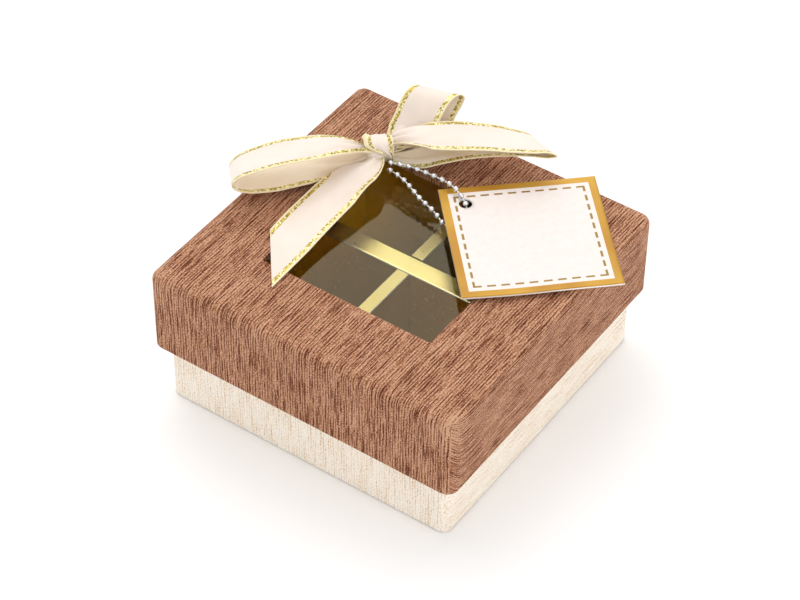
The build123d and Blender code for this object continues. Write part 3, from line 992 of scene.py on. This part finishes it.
@dataclass
class BallChain:
    """The silver ball chain: stamped balls on short wire links, through the tag's hole."""

    hole: tuple[float, float, float] = (*TAG_HOLE, LID_TOP)
    pitch: float = 2.4 * MM
    ball_radius: float = 0.75 * MM
    wire_radius: float = 0.22 * MM
    pole: float = 17.0  # degrees from the chain's line where a ball is drawn in to the wire
    gap: float = 1.02  # radii from the wire's end to the middle of the next ball
    stub: float = 0.05 * MM  # wire past the last ball
    round_steps: int = 16
    ball_steps: int = 12
    line_steps: int = 4000
    route: tuple[tuple[float, float, float], ...] = CHAIN_ROUTE

    def centres(self) -> Array:
        """Sets the balls evenly along the route's smooth line.

        Returns:
            The balls' middles, n by 3.
        """
        points = np.array(self.hole) + np.array(self.route) * MM
        reached = running(points)
        line = natural_spline(reached, points, np.linspace(0, reached[-1], self.line_steps))
        run = running(line)
        at = np.linspace(0, run[-1], round(run[-1] / self.pitch) + 1)
        return np.stack([np.interp(at, run, line[:, k]) for k in range(3)], 1)

    def build(self, plate: Finished, nodes: Nodes) -> None:
        """Makes the balls and links as one piece and dresses the clasp.

        A ball and the wire after it are one profile turned about the chain's line: radius against
        distance, a circle for the ball with its two drawn-in poles, then the wire's straight line.

        Args:
            plate: The metal finish.
            nodes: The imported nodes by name.
        """
        centres = self.centres()
        ways = np.vstack([np.diff(centres, axis=0), centres[-1:] - centres[-2:-1]])
        gaps = np.linalg.norm(ways, axis=1)
        ways = unit(ways)
        helper = np.where(np.abs(ways[:, 2:]) > 0.9, [[1.0, 0, 0]], [[0, 0, 1.0]])
        first = unit(np.cross(ways, helper))
        second = np.cross(first, ways)
        polar = np.linspace(math.radians(self.pole), math.radians(180 - self.pole), self.ball_steps)
        reach = -np.cos(polar) * self.ball_radius
        radius = np.r_[np.sin(polar) * self.ball_radius, self.wire_radius, self.wire_radius]
        turn = np.linspace(0, 2 * np.pi, self.round_steps, endpoint=False)
        reaches = np.tile(np.r_[reach, reach[-1], 0.0], (len(centres), 1))
        reaches[:, -1] = gaps - self.ball_radius * self.gap
        reaches[-1, -1] = reach[-1] + self.stub
        spokes = first[:, None] * np.cos(turn)[:, None] + second[:, None] * np.sin(turn)[:, None]
        middles = centres[:, None] + ways[:, None] * reaches[..., None]
        rings = middles[:, :, None] + spokes[:, None] * radius[:, None, None]
        count, rows, columns = rings.shape[:3]
        first_point = (np.arange(count) * rows * columns)[:, None]
        walls = (grid_faces(rows, columns, (False, True)) + first_point[..., None]).reshape(-1, 4)
        low = np.arange(columns) + first_point
        high = low[:, ::-1] + (rows - 1) * columns
        faces = walls.tolist() + low.tolist() + high.tolist()
        chain = mesh_object("ball_chain_links", rings, faces, flat=2 * count)
        dress(chain, plate)
        dress(nodes["chain_clasp"], plate)
        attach(chain, "chain")
        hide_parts("ball_chain")
        log.info("ball_chain_links: %d balls, %.2f mm apart", count, gaps.mean() / MM)


@dataclass
class GiftTag:
    """The square card tag with its punched hole, slightly bowed as card is."""

    hole: tuple[float, float] = TAG_HOLE
    underside: float = 42.9 * MM
    side: float = 40.0 * MM
    thickness: float = 0.5 * MM
    turn: float = 42.5
    hole_inset: float = 6.1 * MM
    hole_radius: float = 1.7 * MM
    bevel: float = 0.08 * MM
    rays: int = 360
    ray_steps: int = 46

    def build(self, printed: Finished, card: Finished) -> None:
        """Makes the tag as one closed surface.

        Rays leave the hole's middle all round. On each, a point at share v lies v of the way from the
        hole's rim to the card's edge, on the top going out and on the underside coming back.

        Args:
            printed: The printed face's finish.
            card: The plain card of the underside and edges.
        """
        turn = math.radians(self.turn)
        along = np.array([math.cos(turn), math.sin(turn)])
        up = np.array([-math.sin(turn), math.cos(turn)])
        half = self.side / 2
        start = self.hole_inset - half
        ray = (np.arange(self.rays) + 0.5) * (2 * np.pi / self.rays)
        rise, run = np.array([1, 1, -1, -1]) * half + start, np.array([1, -1, -1, 1]) * half - start
        corners = np.arctan2(rise, run)
        nearest = np.abs(np.angle(np.exp(1j * (ray[None] - corners[:, None])))).argmin(1)
        ray[nearest] = corners % (2 * np.pi)
        ray = np.sort(ray)
        cos, sin = np.cos(ray), np.sin(ray)
        to_side, to_end = (np.sign(cos) * half - start) / cos, (np.sign(sin) * half + start) / sin
        edge = np.minimum(to_side, to_end)
        share = np.linspace(0, 1, self.ray_steps) ** 0.9
        out = self.hole_radius + (edge[:, None] - self.hole_radius) * share[None]
        a = start + out * cos[:, None]
        b = -start + out * sin[:, None]
        bow = self.bow(a, b)
        top = np.stack([a, b, bow + self.thickness], -1)
        under = np.stack([a, b, bow], -1)[:, ::-1]
        top[:, [0, -1], 2] -= self.bevel
        ring = np.concatenate([top, under], 1)
        flat = np.array(self.hole) - along * start + up * start
        place = flat + ring[..., :1] * along + ring[..., 1:2] * up
        grid = np.concatenate([place, ring[..., 2:] + self.underside], -1)
        cloth = 0.5 + ring[..., :2] * MAP
        tag = grid_mesh("card_tag", grid[::-1], closed=(True, True), cloth=cloth[::-1])
        for finish in (printed, card):
            tag.data.materials.append(finish)
        columns = grid.shape[1]
        strip = np.arange(len(tag.data.polygons)) % columns
        edge_strip = share.size - 1
        smooth = (strip != edge_strip) & (strip != columns - 1)
        tag.data.polygons.foreach_set("material_index", (strip >= edge_strip).astype(np.int32))
        tag.data.polygons.foreach_set("use_smooth", smooth)
        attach(tag, "tag")
        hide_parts("gift_tag")
        log.info("card_tag made, %d faces", len(tag.data.polygons))

    def bow(self, a: Array, b: Array) -> Array:
        """Lifts the card's far corner and waves its lower edge a little; the hole stays put.

        Args:
            a: Distance along the card from its middle.
            b: Distance up the card from its middle.

        Returns:
            The lift in metres.
        """
        half = self.side / 2
        right = np.clip((a + 4 * MM) / half, 0, None)
        low = np.clip(-b / half, 0, None)
        curl = 0.35 * MM * right**2 * (0.4 + 0.6 * low)
        return curl + 0.12 * MM * low**2 * (1 + np.sin(a / (4.5 * MM)))


@dataclass
class Studio:
    """The pale floor, soft lights and the camera at the photograph's place."""

    azimuth: float = 34.327
    elevation: float = 44.044
    roll: float = 0.708
    distance: float = 685.8 * MM
    aim: tuple[float, float, float] = (0.0, 0.0, 20.0 * MM)
    lens: float = 122.37
    shift: tuple[float, float] = (-0.00391, 0.0084)
    sensor: float = 36.0
    clip: tuple[float, float] = (0.01, 20.0)
    floor_drop: float = 0.3 * MM
    floor_half: float = 3.0
    lit_height: float = 30.0 * MM  # where the lights aim
    surround: float = 0.82

    def build(self) -> None:
        """Makes the camera, lights, world and floor."""
        self.camera()
        self.floor()
        self.lights()

    def camera(self) -> None:
        """Sets the camera from its azimuth, elevation, roll and distance."""
        a, e, r = (math.radians(v) for v in (self.azimuth, self.elevation, self.roll))
        back = Vector((math.sin(a) * math.cos(e), -math.cos(a) * math.cos(e), math.sin(e)))
        right = Vector((0, 0, 1)).cross(back).normalized()
        up = back.cross(right)
        right, up = right * math.cos(r) + up * math.sin(r), up * math.cos(r) - right * math.sin(r)
        data = bpy.data.cameras.new("camera")
        data.lens, data.sensor_width = self.lens, self.sensor
        data.shift_x, data.shift_y = self.shift
        data.clip_start, data.clip_end = self.clip
        obj = link_object("camera", data)
        turn = Matrix((right, up, back)).transposed().to_4x4()
        obj.matrix_world = Matrix.Translation(Vector(self.aim) + back * self.distance) @ turn
        bpy.context.scene.camera = obj

    def floor(self) -> None:
        """Makes a pale floor just under the box."""
        s = np.linspace(-self.floor_half, self.floor_half, 9)
        x, y = np.meshgrid(s, s, indexing="ij")
        floor = grid_mesh("studio_floor", np.stack([x, y, np.full_like(x, -self.floor_drop)], -1))
        sweep = Mottled(
            "matt white sweep", "#FFFFFF", "#FDFDFD", 1 / 3, roughness=1.0, fibrous=False, specular=0.0
        )
        dress(floor, sweep.build())

    def lights(self) -> None:
        """Hangs four soft boxes and sets an even pale surround."""
        for name, spot, size, power in (
            ("top_soft_box", (-0.35, 0.15, 1.2), 0.9, 4.0),
            ("back_soft_box", (-0.55, 0.82, 0.95), 1.6, 4.6),
            ("front_soft_box", (0.1, -1.1, 0.8), 0.8, 0.5),
            ("right_soft_box", (1.1, -0.1, 0.5), 0.6, 2.0),
        ):
            data = bpy.data.lights.new(name, "AREA")
            data.shape, data.size, data.energy = "SQUARE", size, power
            obj = link_object(name, data)
            obj.location = spot
            way = Vector((0, 0, self.lit_height)) - Vector(spot)
            obj.rotation_euler = way.to_track_quat("-Z", "Y").to_euler()
        world = bpy.data.worlds.new("pale surround")
        bpy.context.scene.world = world
        world.use_nodes = True
        colour, strength = world.node_tree.nodes["Background"].inputs[:2]
        colour.default_value, strength.default_value = linear("#FFFFFF"), self.surround
        bpy.context.scene.view_settings.view_transform = "Standard"
        bpy.context.scene.cycles.glossy_bounces = 10


def main() -> None:
    """Builds the scene in order."""
    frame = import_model()
    nodes = frame["nodes"]
    Studio().build()
    PaperedBox().build(nodes)
    FoilInsert().build(nodes)
    satin = EdgedSatin().build()
    # The back's creams are lighter than the face's: painted light, for light that comes through the thin
    # satin
    RibbonBow().build(satin, EdgedSatin("back of the satin, painted lighter", ("#F6E6CF", "#FFF3E0")).build())
    glue = Mottled("hot melt glue", "#EFEADF", "#DAD3C4", 2 * MM, roughness=0.35, fibrous=False)
    dress(nodes["bow_glue_pad"], glue.build())
    BallChain().build(NickelPlate().build(), nodes)
    GiftTag().build(PrintedCard().build(), Mottled("white tag card", "#FBF7F3", "#F2EDE8").build())


if __name__ == "__main__":
    main()
